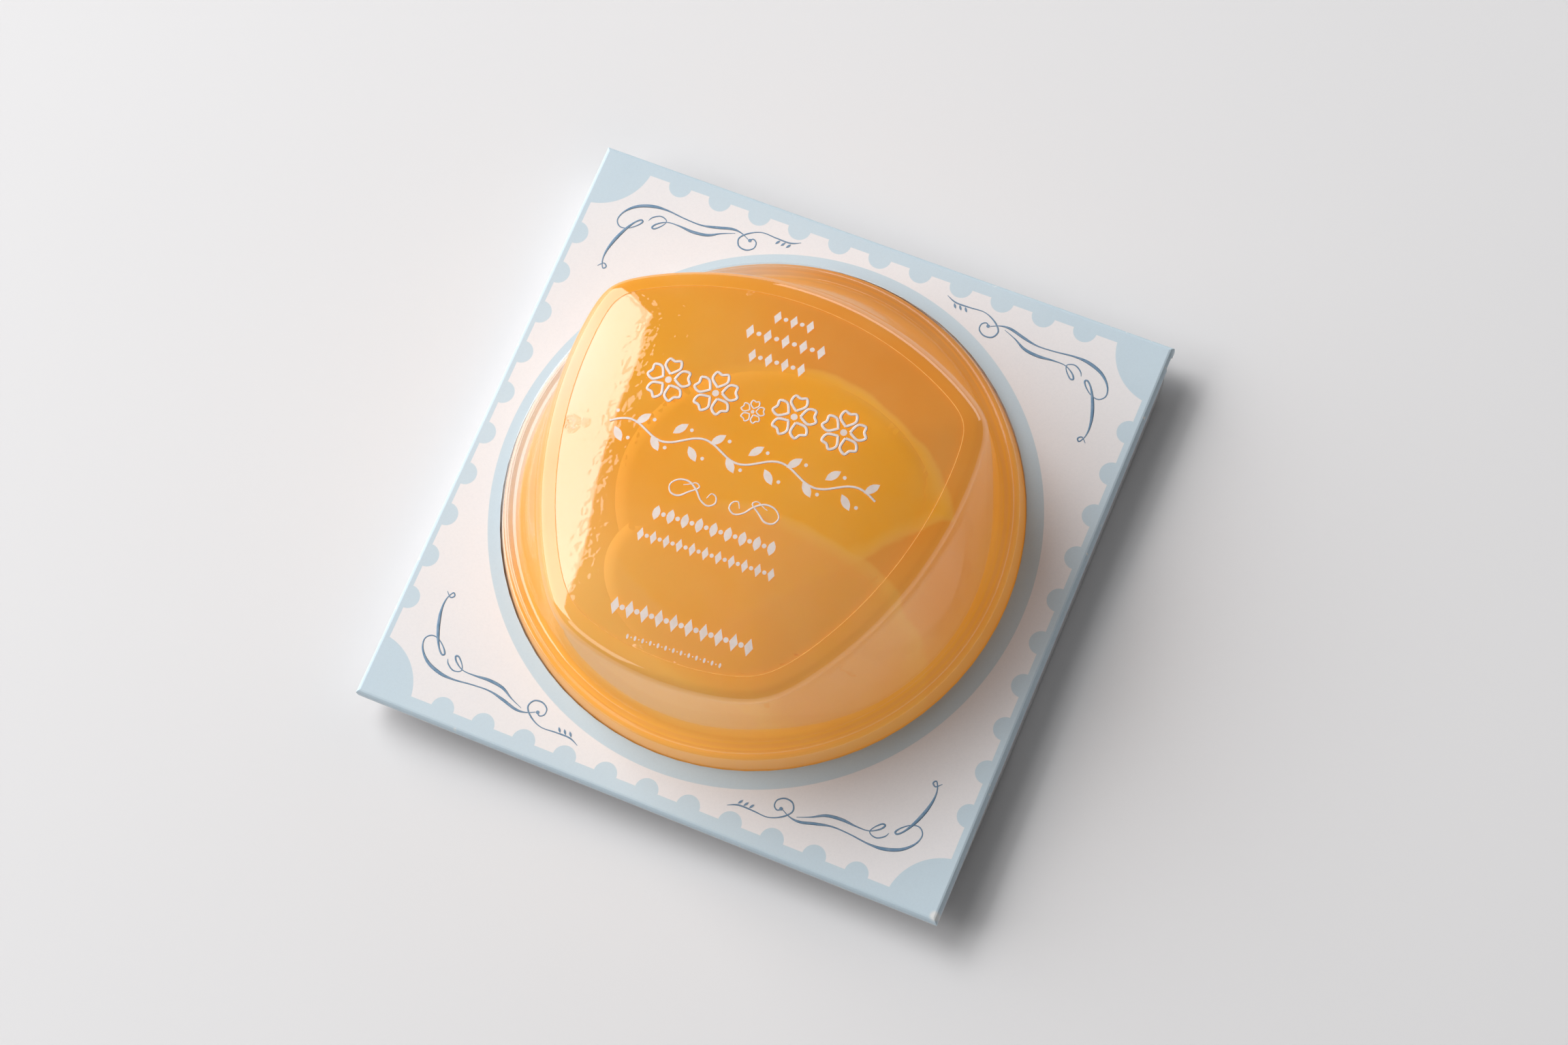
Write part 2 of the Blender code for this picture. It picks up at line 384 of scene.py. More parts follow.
@dataclass(frozen=True)
class TrayBoard:
    """Pale grey pressed board of the tray at the back."""

    base: Colour = (196, 197, 199)
    fibre: Colour = (168, 170, 173)
    cloud: Colour = (214, 214, 214)

    def material(self) -> bpy.types.Material:
        """Builds the tray board's material."""
        graph = Graph("tray_board")
        fibres = graph.noise(900.0, 5.0, 0.7)
        clouds = graph.noise(90.0, 3.0)
        colour = graph.blend(graph.ease(fibres, 0.4, 0.75, 0.0, 0.6), paint(self.base), paint(self.fibre))
        colour = graph.blend(graph.ease(clouds, 0.3, 0.7, 0.0, 0.25), colour, paint(self.cloud))
        roughness = graph.ease(fibres, 0.2, 0.8, 0.6, 0.8)
        shader = graph.body(colour, roughness, 0.25, Normal=graph.bump(fibres, 0.00003, 0.6))
        return graph.finish(shader.outputs[0])


@dataclass(frozen=True)
class ClearPlastic:
    """Thin clear plastic: it mirrors a little and lets the rest through."""

    name: str
    mirror: float = 1.0
    roughness: float = 0.05
    wave_scale: float = 60.0
    wave_depth: float = 0.00002
    tint: float = 0.995
    flaws: tuple[Knot, ...] = ()
    most: float = 0.85

    def material(self) -> bpy.types.Material:
        """Builds the clear plastic's material, with a wrinkled blister at each flaw."""
        graph = Graph(self.name)
        height = graph.noise(self.wave_scale, 2.0)
        if self.flaws:
            x, y, _ = graph.place(CUP_X, CUP_Y)
            wrinkle = graph.ease(graph.noise(1300.0, 2.0), 0.35, 0.65, 0.2, 1.0)
            for flaw_x, flaw_y, reach in self.flaws:
                away = graph.away(x, y, flaw_x, flaw_y)
                rise = graph.ease(away, reach * 0.35, reach, reach * 1.2, 0.0)
                height = graph.math("MULTIPLY_ADD", rise, wrinkle, height)
        waves = graph.bump(height, self.wave_depth)
        fresnel = graph.add("ShaderNodeFresnel", {"IOR": 1.5, "Normal": waves}).outputs[0]
        back = graph.add("ShaderNodeNewGeometry").outputs["Backfacing"]
        front = graph.minus(1.0, back)
        share = graph.times(graph.times(fresnel, front), self.mirror)
        share = graph.smaller(share, self.most)
        clear = graph.add("ShaderNodeBsdfTransparent", {"Color": (self.tint, self.tint, self.tint, 1.0)})
        gloss = graph.add(
            "ShaderNodeBsdfGlossy",
            {"Color": (1.0, 1.0, 1.0, 1.0), "Roughness": self.roughness, "Normal": waves},
        )
        shader = graph.add("ShaderNodeMixShader", {0: share, 1: clear.outputs[0], 2: gloss.outputs[0]})
        return graph.finish(shader.outputs[0])


@dataclass(frozen=True)
class PaintedGlow:
    """A soft patch of another amber in the jelly, mostly painted light, with its middle in millimetres from
    the cup's axis.
    """

    x: float
    y: float
    reach: float
    colour: Colour
    strength: float = 1.0


@dataclass(frozen=True)
class Amber:
    """Cloudy amber jelly with painted light: brighter and yellower on the side which most light comes from.
    """

    base: Colour = (238, 152, 50)
    # Mostly painted light: brighter, yellower amber at the left, where the light comes in, and at the bottom
    # and right walls, where it passes through; browner at the upper right; a pale patch at the left edge
    # that is a painted reflection. The small patch on the right wall follows a peach half seen through the
    # jelly.
    painted_glows: tuple[PaintedGlow, ...] = (
        PaintedGlow(-26.0, 10.0, 42.0, (240, 162, 22)),
        PaintedGlow(-16.0, -34.0, 34.0, (250, 182, 84), 0.9),
        PaintedGlow(26.0, -34.0, 36.0, (253, 180, 90), 0.9),
        PaintedGlow(48.0, 0.0, 32.0, (248, 152, 34), 0.9),
        PaintedGlow(38.0, -19.0, 11.0, (248, 168, 78), 0.8),
        PaintedGlow(14.0, 32.0, 26.0, (234, 144, 38), 0.8),
        PaintedGlow(2.0, -46.0, 30.0, (254, 186, 92), 0.9),
        PaintedGlow(-50.0, 6.0, 26.0, (232, 184, 150), 0.85),
        PaintedGlow(-6.0, -4.0, 22.0, (250, 160, 10), 0.8),
    )
    # Painted light at the collar: the jelly's foot glows a richer amber (rim), duller and browner towards
    # the top (far_rim).
    rim: Colour = (246, 168, 62)
    far_rim: Colour = (206, 138, 76)
    passed: Colour = (255, 168, 70)
    passed_light: float = 0.34
    light: Knot = (-0.837, 0.058, 0.545)
    # A painted reflection: the clear collar looks pale on the lit side.
    painted_reflection: Colour = (198, 178, 164)
    cloud: Colour = (246, 196, 120)

    def colour(self, graph: Graph) -> bpy.types.NodeSocket:
        """Adds the amber and its painted patches of light and shade to a tree.

        Args:
            graph: The tree to add to.

        Returns:
            The colour's socket.
        """
        x, y, _ = graph.place(CUP_X, CUP_Y)
        colour: Value = paint(self.base)
        for glow in self.painted_glows:
            away = graph.away(x, y, glow.x, glow.y)
            share = graph.ease(away, 0.0, glow.reach, glow.strength, 0.0)
            colour = graph.blend(share, colour, paint(glow.colour))
        return colour

    def shader(self, graph: Graph, colour: Value) -> bpy.types.NodeSocket:
        """Adds the cloudy body's shader.

        Cloudy jelly passes light on from its lit side to its far side, which a faint glow stands for.

        Args:
            graph: The tree to add to.
            colour: The surface's colour.

        Returns:
            The shader's socket.
        """
        x, y, z = graph.place(CUP_X, CUP_Y, CARD_FACE)
        far_side = graph.math("MULTIPLY_ADD", y, -0.45, graph.times(x, 0.85))
        normal = graph.add("ShaderNodeNewGeometry").outputs["Normal"]
        facing = graph.add("ShaderNodeVectorMath", {0: normal, 1: self.light}, operation="DOT_PRODUCT")
        turned = graph.ease(facing.outputs["Value"], 0.5, -0.35, 0.12, 1.0)
        foot = graph.times(graph.ease(z, 9.0, 5.0), graph.ease(far_side, -26.0, 30.0))
        lit = graph.larger(turned, foot)
        glow = graph.blend(lit, (0.0, 0.0, 0.0, 1.0), graph.blend(0.3, colour, paint(self.passed)))
        body = graph.body(colour, 0.5, 0.1, Emission_Color=glow)
        body.inputs["Emission Strength"].default_value = self.passed_light
        body.inputs["Subsurface Weight"].default_value = 0.15
        body.inputs["Subsurface Scale"].default_value = 0.002
        body.inputs["Subsurface Radius"].default_value = (1.0, 0.5, 0.2)
        return body.outputs[0]


@dataclass(frozen=True)
class PeachShow:
    """How a peach half shows through cloudy jelly: its own colour, lost in the amber at its rim, with a
    lighter line inside its outline on the right that is a painted highlight.

    Places are in millimetres from the cup's axis. The cut is a straight edge, given by the two parts of its
    normal and its distance from the axis.
    """

    x: float
    y: float
    across: float
    up: float
    colour: Colour
    strength: float
    cut: Knot | None = None
    # edge: the lighter line inside the outline, a painted highlight.
    edge: Colour = (255, 190, 84)
    fibre: Colour = (246, 170, 50)

    def blend(self, graph: Graph, colour: Value) -> bpy.types.NodeSocket:
        """Blends the half into a colour.

        Args:
            graph: The tree to add to.
            colour: The jelly's colour.

        Returns:
            The new colour's socket.
        """
        x, y, _ = graph.place(CUP_X, CUP_Y)
        over = graph.math("DIVIDE", graph.minus(x, self.x), self.across)
        rise = graph.math("DIVIDE", graph.minus(y, self.y), self.up)
        inside = graph.times(graph.minus(1.0, graph.span(over, rise)), self.up)
        if self.cut:
            slope = graph.math("MULTIPLY_ADD", x, self.cut[0], graph.times(y, self.cut[1]))
            inside = graph.smaller(inside, graph.minus(self.cut[2], slope))
        ragged = graph.ease(graph.noise(90.0, 3.0), 0.3, 0.7, -0.7, 0.7)
        inside = graph.math("ADD", inside, ragged)
        fibres = graph.noise(140.0, 4.0, 0.6)
        flesh = graph.blend(graph.ease(fibres, 0.35, 0.7, 0.0, 0.3), paint(self.colour), paint(self.fibre))
        shown = graph.times(graph.ease(inside, 0.3, 2.2), self.strength)
        shown = graph.times(shown, graph.ease(x, self.x - self.across, self.x, 0.0, 1.0))
        # Painted highlight: a lighter line just inside the outline, only on the half's right part.
        edge = graph.times(graph.ease(inside, 0.2, 1.1), graph.ease(inside, 4.0, 1.1))
        far_side = graph.ease(x, self.x - self.across * 0.8, self.x + 6.0, 0.0, 0.4)
        edge = graph.times(edge, far_side)
        return graph.blend(edge, graph.blend(shown, colour, flesh), paint(self.edge))


UPPER_PEACH = PeachShow(9.5, -6.0, 33.0, 28.0, (252, 168, 10), 0.9, (0.77, -0.64, 27.5))
LOWER_PEACH = PeachShow(13.0, -24.0, 32.0, 18.0, (248, 166, 74), 0.85)


@dataclass(frozen=True)
class JellySkin:
    """Surface of the jelly behind the clear wall: amber, with a painted richer glow at the foot and a pale
    painted reflection on the collar at one side.
    """

    name: str = "jelly_skin"
    amber: Amber = field(default_factory=Amber)
    peaches: tuple[PeachShow, ...] = (UPPER_PEACH, LOWER_PEACH)

    def material(self) -> bpy.types.Material:
        """Builds the skin's material."""
        graph = Graph(self.name)
        x, y, z = graph.place(CUP_X, CUP_Y, CARD_FACE)
        colour = self.amber.colour(graph)
        for peach in self.peaches:
            colour = peach.blend(graph, colour)
        # Painted light: the jelly's foot glows a richer amber, duller and browner towards the top.
        low = graph.ease(z, 2.0, 14.0, 1.0, 0.0)
        rim = graph.blend(graph.ease(y, 22.0, 46.0), paint(self.amber.rim), paint(self.amber.far_rim))
        colour = graph.blend(graph.times(low, 0.6), colour, rim)
        # Painted reflection: the collar turns pale on its upper left, the side the light comes from.
        leftwards = graph.math("MULTIPLY_ADD", y, 0.35, graph.times(x, -1.0))
        reflection_side = graph.ease(leftwards, 20.0, 46.0)
        ring = graph.times(graph.ease(z, 4.5, 8.0, 1.0, 0.0), reflection_side)
        colour = graph.blend(graph.times(ring, 0.9), colour, paint(self.amber.painted_reflection))
        cloud = graph.noise(55.0, 3.0)
        colour = graph.blend(graph.ease(cloud, 0.35, 0.7, 0.0, 0.12), colour, paint(self.amber.cloud))
        return graph.finish(self.amber.shader(graph, colour))


@dataclass(frozen=True)
class Ink:
    """Printing ink with a slightly uneven cover; its glow, where one is set, is painted light."""

    name: str
    colour: Colour
    second: Colour
    roughness: float = 0.5
    glow: float = 0.0

    def material(self) -> bpy.types.Material:
        """Builds the ink's material."""
        graph = Graph(self.name)
        cover = graph.noise(700.0, 3.0, 0.6)
        colour = graph.blend(graph.ease(cover, 0.35, 0.7), paint(self.colour), paint(self.second))
        shader = graph.body(colour, self.roughness, 0.3, Emission_Color=colour)
        shader.inputs["Emission Strength"].default_value = self.glow
        return graph.finish(shader.outputs[0])


def choose_none() -> None:
    """Leaves edit mode and selects nothing."""
    if bpy.context.object and bpy.context.object.mode != "OBJECT":
        bpy.ops.object.mode_set(mode="OBJECT")
    bpy.ops.object.select_all(action="DESELECT")


def dress(
    piece: bpy.types.Object, finish: bpy.types.Material, slot: str, *stands_for: str
) -> bpy.types.Object:
    """Gives a new piece its finish and makes it ride on the pack.

    Args:
        piece: The piece.
        finish: Its material.
        slot: Not used.
        *stands_for: CAD nodes that it replaces.

    Returns:
        The piece.
    """
    piece.data.materials.clear()
    piece.data.materials.append(finish)
    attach(piece, BODY)
    if stands_for:
        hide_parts(*stands_for)
    LOG.info("%s: %d faces", piece.name, len(piece.data.polygons))
    return piece


def loft(
    name: str, rings: Sequence[Ring], around: int, close_first: bool, close_last: bool
) -> bpy.types.Object:
    """Extrudes a circle ring by ring round the cup's axis.

    Args:
        name: Name of the new object.
        rings: For each ring, the radius and the height over the card at an angle.
        around: Points on each ring.
        close_first: Whether the first ring is closed with a fan.
        close_last: Whether the last ring is closed with a fan.

    Returns:
        The object, smooth shaded.
    """
    choose_none()
    bpy.ops.mesh.primitive_circle_add(vertices=around, radius=1.0)
    piece = bpy.context.object
    piece.name = name
    bpy.ops.object.mode_set(mode="EDIT")
    bpy.ops.mesh.select_mode(type="VERT")
    bpy.ops.mesh.select_all(action="SELECT")
    start = (0.0, 0.0)
    for number, ring in enumerate(rings):
        if number:
            bpy.ops.mesh.extrude_region_move()
        mesh = bmesh.from_edit_mesh(piece.data)
        for corner in mesh.verts:
            if corner.select:
                angle = math.atan2(corner.co.y - start[1], corner.co.x - start[0])
                radius, height = ring(angle)
                corner.co.x = CUP_X + radius * math.cos(angle)
                corner.co.y = CUP_Y + radius * math.sin(angle)
                corner.co.z = CARD_FACE + height
        bmesh.update_edit_mesh(piece.data)
        start = (CUP_X, CUP_Y)
    if close_last:
        bpy.ops.mesh.extrude_region_move()
        bpy.ops.mesh.merge(type="CENTER")
    if close_first:
        bpy.ops.mesh.select_all(action="DESELECT")
        mesh = bmesh.from_edit_mesh(piece.data)
        mesh.verts.ensure_lookup_table()
        for corner in mesh.verts[:around]:
            corner.select = True
        mesh.select_flush(True)
        bmesh.update_edit_mesh(piece.data)
        bpy.ops.mesh.extrude_region_move()
        bpy.ops.mesh.merge(type="CENTER")
    bpy.ops.mesh.select_all(action="SELECT")
    bpy.ops.mesh.normals_make_consistent(inside=False)
    bpy.ops.object.mode_set(mode="OBJECT")
    highest = max(piece.data.polygons, key=lambda face: face.center.z)
    if highest.normal.z < 0.0:
        bpy.ops.object.mode_set(mode="EDIT")
        bpy.ops.mesh.flip_normals()
        bpy.ops.object.mode_set(mode="OBJECT")
    bpy.ops.object.shade_smooth_by_angle(angle=math.radians(50.0))
    return piece


@dataclass(frozen=True)
class Arc:
    """One bowed side of the cushion-shaped top."""

    x: float
    y: float
    radius: float

    def reach(self, angle: float) -> float:
        """Distance from the cup's axis to the arc.

        Args:
            angle: Direction in radians.

        Returns:
            The distance in metres.
        """
        along = math.cos(angle) * self.x + math.sin(angle) * self.y
        return along + math.sqrt(along * along + self.radius**2 - self.x**2 - self.y**2)


@dataclass(frozen=True)
class DomeForm:
    """Form of the cup: a round collar, and a wall that ends in a cushion-shaped top with four sides."""

    flange_radius: float = 54.4 * MM
    flange_height: float = -0.8 * MM
    collar_foot: float = 50.68 * MM
    collar_top: float = 49.7 * MM
    collar_height: float = 4.5 * MM
    bead_radius: float = 48.0 * MM
    bead_height: float = 5.1 * MM
    groove_radius: float = 47.0 * MM
    groove_height: float = 4.9 * MM
    foot: float = 46.2 * MM
    foot_height: float = 5.5 * MM
    shoulder_height: float = 24.6 * MM
    shoulder_radius: float = 3.4 * MM
    shoulder_sweep: float = math.radians(74.0)
    crown_rise: float = 5.0 * MM
    crown_power: float = 2.6
    corner_power: float = 34.0
    sides: tuple[Arc, ...] = (
        Arc(0.0, -29.7 * MM, 67.3 * MM),
        Arc(-37.15 * MM, 11.1 * MM, 77.6 * MM),
        Arc(37.15 * MM, 11.1 * MM, 77.6 * MM),
        Arc(0.0, 19.0 * MM, 62.4 * MM),
    )

    def cushion(self, angle: float) -> float:
        """Radius of the cushion-shaped top at an angle, its corners rounded by a soft minimum.

        Args:
            angle: Direction in radians.

        Returns:
            The radius in metres.
        """
        total = sum((side.reach(angle) / self.foot) ** -self.corner_power for side in self.sides)
        return self.foot * total ** (-1.0 / self.corner_power)

    def wall(self, share: float, inset: float = 0.0) -> Ring:
        """A ring on the wall.

        Args:
            share: 0 at the wall's foot and 1 at the shoulder.
            inset: Distance inside the outer face.

        Returns:
            The ring.
        """

        def ring(angle: float) -> Point:
            """Radius and height at an angle."""
            radius = self.foot + (self.cushion(angle) - self.foot) * share - inset
            return radius, self.foot_height + (self.shoulder_height - self.foot_height) * share

        return ring

    def shoulder(self, share: float, inset: float = 0.0) -> Ring:
        """A ring on the rounded shoulder.

        Args:
            share: 0 at the wall's top and 1 at the crown's edge.
            inset: Distance inside the outer face.

        Returns:
            The ring.
        """

        def ring(angle: float) -> Point:
            """Radius and height at an angle."""
            bend = max(self.shoulder_radius - inset, 0.2 * MM)
            turn = self.shoulder_sweep * share
            radius = self.cushion(angle) - inset - bend * (1.0 - math.cos(turn))
            return radius, self.shoulder_height + (self.shoulder_radius - inset) * math.sin(turn)

        return ring

    def crown(self, share: float, inset: float = 0.0) -> Ring:
        """A ring on the crown.

        Args:
            share: 1 at the crown's edge and 0 at its middle.
            inset: Distance inside the outer face.

        Returns:
            The ring.
        """

        def ring(angle: float) -> Point:
            """Radius and height at an angle."""
            edge, height = self.shoulder(1.0, inset)(angle)
            return edge * share, height + self.crown_rise * (1.0 - share**self.crown_power)

        return ring

    def crown_height(self, x: float, y: float) -> float:
        """Height of the crown over the card.

        Args:
            x: Place across, from the cup's axis.
            y: Place up, from the cup's axis.

        Returns:
            The height in metres.
        """
        edge, height = self.shoulder(1.0)(math.atan2(y, x))
        share = min(math.hypot(x, y) / edge, 1.0)
        return height + self.crown_rise * (1.0 - share**self.crown_power)

    def collar(self, inset: float = 0.0) -> list[Ring]:
        """The rings from the collar's foot over the bead and down into the groove.

        Args:
            inset: Distance inside the outer face.

        Returns:
            The rings.
        """
        stations = [(self.collar_foot - inset, self.flange_height - inset)]
        for step in range(5):
            turn = math.radians(90.0 * step / 4.0)
            radius = self.collar_top - 0.6 * MM - inset + 0.6 * MM * math.cos(turn)
            stations.append((radius, self.collar_height - 0.6 * MM - inset + 0.6 * MM * math.sin(turn)))
        middle = (self.collar_top + self.bead_radius) / 2.0 - 0.2 * MM - inset
        stations.append((middle, self.collar_height + 0.05 * MM - inset))
        for step in range(7):
            turn = math.radians(180.0 * step / 6.0)
            radius = self.bead_radius - inset + 0.55 * MM * math.cos(turn)
            lift = (self.bead_height - self.collar_height) * math.sin(turn)
            stations.append((radius, self.collar_height + 0.1 * MM + lift - inset))
        stations.append((self.groove_radius - 0.3 * MM - inset, self.groove_height - 0.2 * MM - inset))
        stations.append((self.foot + 0.15 * MM - inset, self.foot_height - 0.4 * MM - inset))
        return [self.fixed(*station) for station in stations]

    @staticmethod
    def fixed(radius: float, height: float) -> Ring:
        """A round, level ring.

        Args:
            radius: Its radius.
            height: Its height over the card.

        Returns:
            The ring.
        """
        return lambda angle: (radius, height)

    def dome(self, inset: float = 0.0, crown_rings: int = 24) -> list[Ring]:
        """The rings from the wall's foot to near the crown's middle.

        Args:
            inset: Distance inside the outer face.
            crown_rings: Number of rings on the crown.

        Returns:
            The rings.
        """
        rings = [self.wall(step / 10.0, inset) for step in range(11)]
        rings += [self.shoulder(step / 8.0, inset) for step in range(1, 9)]
        rings += [self.crown(1.0 - step / crown_rings, inset) for step in range(1, crown_rings)]
        return rings


@dataclass
class CupShell:
    """The clear moulded cup."""

    form: DomeForm
    wall: float = 0.6 * MM
    around: int = 288

    def build(self) -> bpy.types.Object:
        """Builds and dresses the shell."""
        flange = self.form.fixed(self.form.flange_radius, self.form.flange_height)
        rings = [flange, *self.form.collar(), *self.form.dome()]
        shell = loft("cup_shell", rings, self.around, False, True)
        thick = shell.modifiers.new("wall", "SOLIDIFY")
        thick.thickness = self.wall
        thick.offset = -1.0
        bpy.context.view_layer.objects.active = shell
        bpy.ops.object.modifier_apply(modifier=thick.name)
        finish = ClearPlastic("clear_cup", mirror=1.9, wave_scale=70.0, wave_depth=0.00003, most=0.17)
        return dress(shell, finish.material(), "cup", "cup")


@dataclass
class JellyFill:
    """The jelly, which starts inside the thickness of the cup's wall so that no air shows between them."""

    form: DomeForm
    around: int = 240
    inset: float = 0.2 * MM
    shelf: tuple[Point, ...] = ((49.4, 3.6), (49.2, 4.0), (48.7, 4.25), (46.9, 4.5))

    def build(self) -> bpy.types.Object:
        """Builds and dresses the jelly."""
        foot = self.form.fixed(self.form.collar_foot - self.inset, self.form.flange_height - 0.4 * MM)
        shelf = [self.form.fixed(radius * MM, height * MM) for radius, height in self.shelf]
        rings = [foot, *shelf, *self.form.dome(self.inset)]
        skin = loft("jelly_skin", rings, self.around, True, True)
        return dress(skin, JellySkin().material(), "jelly", "jelly")


@dataclass
class PeachHalf:
    """A rounded half of soft peach that lies in the jelly right under the crown."""

    name: str
    show: PeachShow
    form: DomeForm
    proud: float = 0.09 * MM
    depth: float = 9.0 * MM
    around: int = 120

    def outline(self, share: float) -> Ring:
        """A level ring round the half.

        Args:
            share: Its size, 1 at the rim and 0 at the middle.

        Returns:
            The ring, with the share as its height so that it can be lifted into place.
        """

        def ring(angle: float) -> Point:
            """Radius and share at an angle."""
            across = math.cos(angle) / self.show.across
            up = math.sin(angle) / self.show.up
            return share * MM / math.hypot(across, up), share

        return ring

    def build(self) -> bpy.types.Object:
        """Builds the half as a lens whose top follows the crown."""
        shares = [math.sin(math.radians(step * 9.0)) for step in range(1, 10)]
        rings = [self.outline(share) for share in shares]
        rings += [self.outline(1.0 - step / 12.0) for step in range(1, 12)]
        half = loft(self.name, rings, self.around, True, True)
        under = self.around * len(shares)
        for corner in half.data.vertices:
            x = corner.co.x - CUP_X
            y = corner.co.y - CUP_Y
            share = math.hypot(x / self.show.across, y / self.show.up) / MM
            place = Vector((x + self.show.x * MM, y + self.show.y * MM))
            limit = self.form.shoulder(1.0)(math.atan2(place.y, place.x))[0] * 0.97
            sunk = min(place.length / limit, 1.0) ** 12
            if place.length > limit:
                place.length = limit
            top = self.form.crown_height(place.x, place.y) - 0.22 * MM
            if corner.index < under or corner.index == len(half.data.vertices) - 1:
                height = top - self.depth * math.sqrt(max(1.0 - share * share, 0.0)) - 0.3 * MM
            else:
                height = top + self.proud * (1.0 - share**4) * (1.0 - sunk) - 0.03 * MM * sunk
            corner.co = (CUP_X + place.x, CUP_Y + place.y, CARD_FACE + height)
        return dress(half, JellySkin(f"{self.name}_flesh").material(), "jelly")


@dataclass
class LabelFilm:
    """A clear film stuck on the crown, with its cut edge, drawn as a thin light line that glows faintly: a
    painted glint.
    """

    form: DomeForm
    inset: float = 1.9 * MM
    lift: float = 0.05 * MM
    thickness: float = 0.05 * MM
    around: int = 288
    rings: int = 48
    flaws: tuple[Knot, ...] = (
        (-33.0, -4.0, 2.2), (-30.4, -3.0, 1.2), (-4.0, -39.0, 1.4), (3.5, -39.4, 1.2), (-12.0, 31.5, 0.9),
    )

    def surface(self, x: float, y: float) -> float:
        """Height of the film's upper face over the card.

        Args:
            x: Place across, from the cup's axis.
            y: Place up, from the cup's axis.

        Returns:
            The height in metres.
        """
        return self.form.crown_height(x, y) + self.lift + self.thickness

    def outline(self, angle: float, share: float = 1.0) -> Point:
        """A point of the film, given by its angle.

        Args:
            angle: Direction in radians.
            share: 1 at the film's edge and 0 at its middle.

        Returns:
            The radius and the height over the card.
        """
        radius = (self.form.shoulder(1.0)(angle)[0] - self.inset) * share
        return radius, self.surface(radius * math.cos(angle), radius * math.sin(angle))

    def skirt(self, angle: float) -> Point:
        """The film's cut edge, which ends just inside the cup's wall.

        Args:
            angle: Direction in radians.

        Returns:
            The radius and the height over the card.
        """
        radius, height = self.outline(angle)
        return radius, height - self.lift - self.thickness - 0.05 * MM

    def ring(self, share: float) -> Ring:
        """A ring of the film's upper face, at a share of its size."""
        return lambda angle: self.outline(angle, share)

    def build(self) -> None:
        """Builds and dresses the film and its edge."""
        rings = [self.skirt, *(self.ring(1.0 - step / self.rings) for step in range(self.rings))]
        film = loft("label_film", rings, self.around, False, True)
        finish = ClearPlastic("label_film", 1.05, 0.05, 330.0, 0.00022, flaws=self.flaws)
        dress(film, finish.material(), "label", "label")
        points = []
        for step in range(240):
            angle = math.tau * step / 240.0
            radius, height = self.outline(angle)
            height -= self.thickness * 0.5
            across, up = radius * math.cos(angle), radius * math.sin(angle)
            points.append((CUP_X + across, CUP_Y + up, CARD_FACE + height))
        # The tube lies on the film's real cut edge; its light amber colour and faint glow are a painted
        # glint.
        edge = Wire("label_edge_glint", points, [0.06 * MM] * len(points), closed=True).build()
        edge.visible_shadow = False
        dress(edge, Ink("film_edge_glint", (232, 176, 92), (222, 156, 76), 0.4, 0.25).material(), "label")


@dataclass
class Wire:
    """A round wire through points, as a mesh."""

    name: str
    points: list[Knot]
    radii: list[float]
    closed: bool = False
    sides: int = 1

    def build(self) -> bpy.types.Object:
        """Builds the wire as a curve and makes it a mesh."""
        choose_none()
        curve = bpy.data.curves.new(self.name, "CURVE")
        curve.dimensions = "3D"
        curve.bevel_depth = 1.0
        curve.bevel_resolution = self.sides
        curve.use_fill_caps = True
        spline = curve.splines.new("POLY")
        spline.points.add(len(self.points) - 1)
        for knot, place, radius in zip(spline.points, self.points, self.radii):
            knot.co = (*place, 1.0)
            knot.radius = radius
        spline.use_cyclic_u = self.closed
        wire = bpy.data.objects.new(self.name, curve)
        bpy.context.collection.objects.link(wire)
        bpy.context.view_layer.objects.active = wire
        wire.select_set(True)
        bpy.ops.object.convert(target="MESH")
        return bpy.context.object


class Motif(Enum):
    """Shapes that the ornament is put together from."""

    DOT = "dot"
    LOZENGE = "lozenge"
    LEAF = "leaf"


